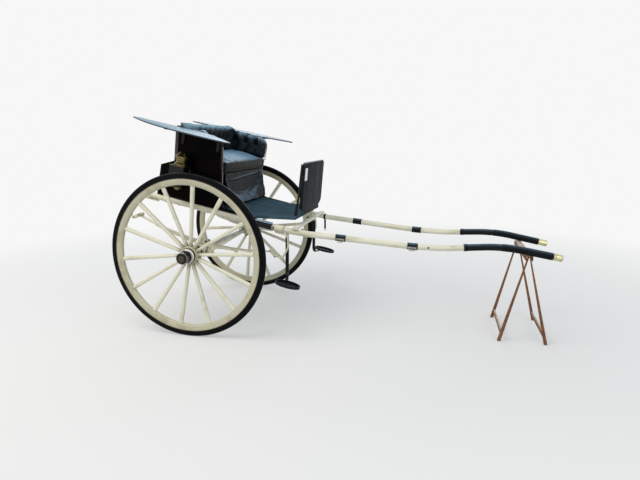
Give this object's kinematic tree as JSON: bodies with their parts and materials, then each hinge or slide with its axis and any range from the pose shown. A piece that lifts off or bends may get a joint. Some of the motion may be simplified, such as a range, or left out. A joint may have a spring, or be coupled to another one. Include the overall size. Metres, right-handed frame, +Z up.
{
  "type": "horse drawn carriage",
  "caption": "Light open driving gig with large spoked wheels, leaf springs, a padded seat under side wings, carriage lamps and curved shafts resting on a trestle.",
  "frame": {"origin": "the bottom centre of the bounding box, on the ground", "axes": "+X forward along the shafts, +Y to the carriage's left, +Z up"},
  "size_m": [3.6331, 1.76, 1.8179],
  "materials": {
    "cream_paint": "cream coach enamel over ash, fine dark lining, worn",
    "cream_metal": "cream enamel over forged steel",
    "black_paint": "black high gloss coach enamel",
    "black_metal": "gloss black enamel over steel",
    "black_leather": "smooth polished black leather",
    "seat_leather": "soft dark leather, buttoned and piped",
    "rubber_tyre": "solid black rubber, a little dusty",
    "bare_steel": "worn bare steel",
    "brass": "polished brass, a little dulled",
    "lamp_glass": "clear bevelled glass",
    "rusty_steel": "brown rust over bare steel"
  },
  "bodies": {
    "gig": {"axle": "cream_metal", "back_panel": "black_paint", "boot_top": "black_paint", "crossbar": "cream_paint", "dash_irons": "black_metal", "dashboard": "black_leather", "floor": "black_paint", "front_scroll_irons": "cream_metal", "hanging_strap": "black_leather", "lamp_brackets": "black_metal", "lamp_brass": "brass", "lamp_cases": "black_metal", "lamp_glasses": "lamp_glass", "left_shaft": "cream_paint", "left_side_panel": "black_paint", "left_spring": "cream_metal", "left_step": "black_metal", "left_wing": "black_paint", "rear_panel": "black_paint", "rear_scroll_irons": "cream_metal", "right_shaft": "cream_paint", "right_side_panel": "black_paint", "right_spring": "cream_metal", "right_step": "black_metal", "right_wing": "black_paint", "seat_back": "seat_leather", "seat_board": "black_paint", "seat_cushion": "seat_leather", "seat_fall": "seat_leather", "seat_front": "black_paint", "shackles": "cream_metal", "shaft_bands": "black_leather", "shaft_leathers": "black_leather", "shaft_sockets": "black_metal", "shaft_staples": "bare_steel", "shaft_tips": "brass", "sills": "cream_paint", "spring_clips": "cream_metal", "toe_board": "black_paint", "trestle_beam": "rusty_steel", "trestle_legs": "rusty_steel", "trestle_rails": "rusty_steel", "wing_irons": "black_metal"},
    "wheel_left": {"left_wheel_cap": "black_paint", "left_wheel_channel": "black_metal", "left_wheel_disc": "brass", "left_wheel_felloe": "cream_paint", "left_wheel_hoops": "black_paint", "left_wheel_spokes": "cream_paint", "left_wheel_tyre": "rubber_tyre"},
    "wheel_right": {"right_wheel_cap": "black_paint", "right_wheel_channel": "black_metal", "right_wheel_disc": "brass", "right_wheel_felloe": "cream_paint", "right_wheel_hoops": "black_paint", "right_wheel_spokes": "cream_paint", "right_wheel_tyre": "rubber_tyre"}
  },
  "joints": [
    {"name": "wheel_left_turn", "type": "hinge", "parent": "gig", "child": "wheel_left", "pos_m": [-1.13222, 0.764, 0.685], "axis": [0, 1, 0], "continuous": true},
    {"name": "wheel_right_turn", "type": "hinge", "parent": "gig", "child": "wheel_right", "pos_m": [-1.13222, -0.764, 0.685], "axis": [0, 1, 0], "continuous": true}
  ]
}
